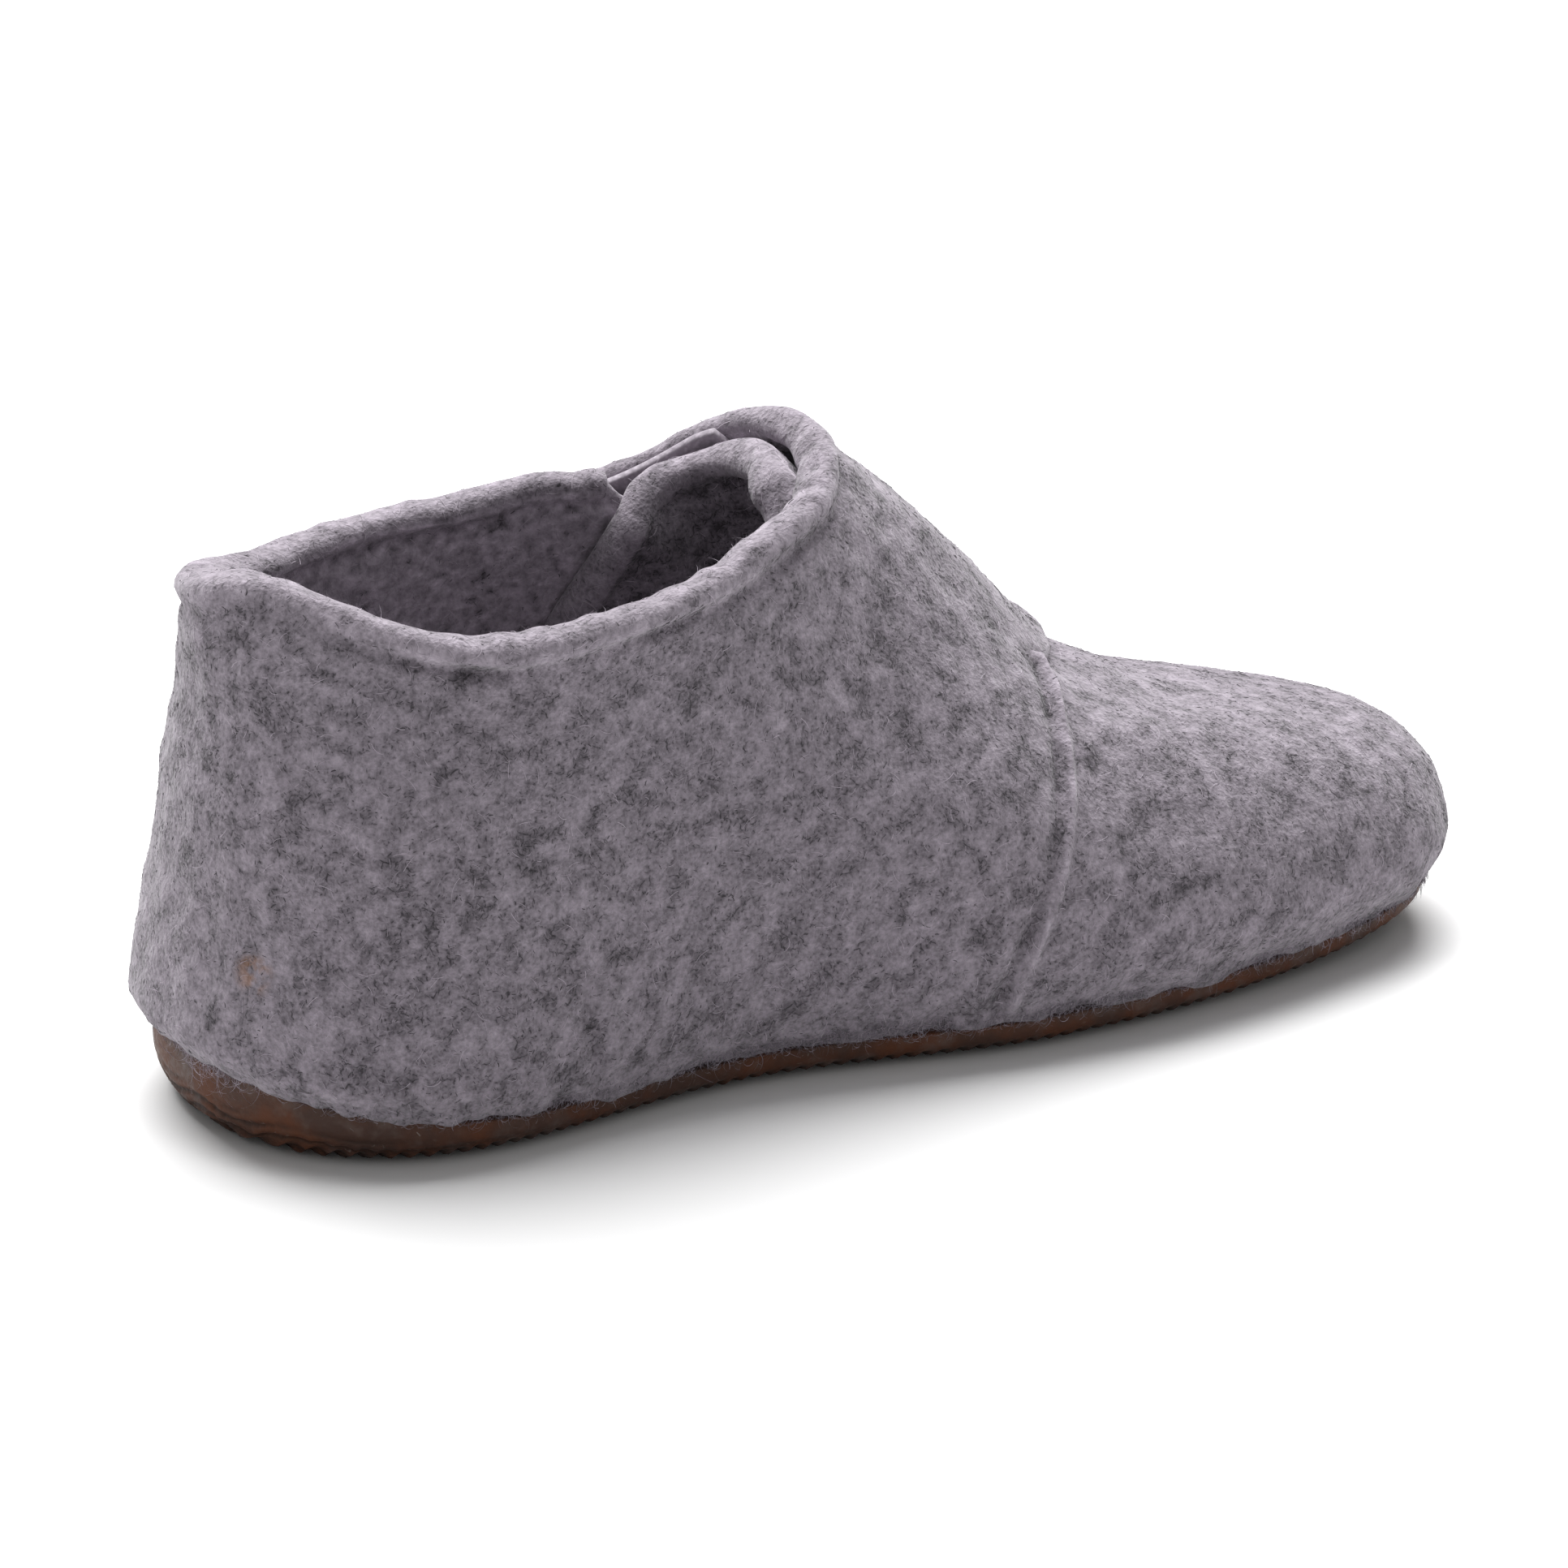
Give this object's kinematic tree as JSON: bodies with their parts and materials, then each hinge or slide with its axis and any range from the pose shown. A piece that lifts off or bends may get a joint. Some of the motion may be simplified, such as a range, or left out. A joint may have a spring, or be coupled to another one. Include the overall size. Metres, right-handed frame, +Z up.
{
  "type": "baby shoe",
  "caption": "Ankle-high baby slipper of thick grey wool felt with a wrap-over hook-and-loop flap, felt tongue and thin brown rubber cup sole; left shoe.",
  "frame": {"origin": "on the floor, under the middle of the shoe's box", "axes": "+X to the toe, +Y to the wearer's left, which is the outer side of this left shoe, +Z up"},
  "size_m": [0.15, 0.0602, 0.0638],
  "materials": {
    "grey_felt": "mottled boiled wool felt, hairy, matte",
    "dark_felt": "flat wool felt, matte",
    "brown_rubber": "satin rubber",
    "grey_tape": "smooth woven tape"
  },
  "bodies": {
    "root": {"upper": "grey_felt", "tongue": "grey_felt", "closure_flap": "grey_felt", "insole": "dark_felt", "outsole": "brown_rubber", "hook_tape": "grey_tape", "loop_tape": "grey_tape"}
  },
  "joints": []
}
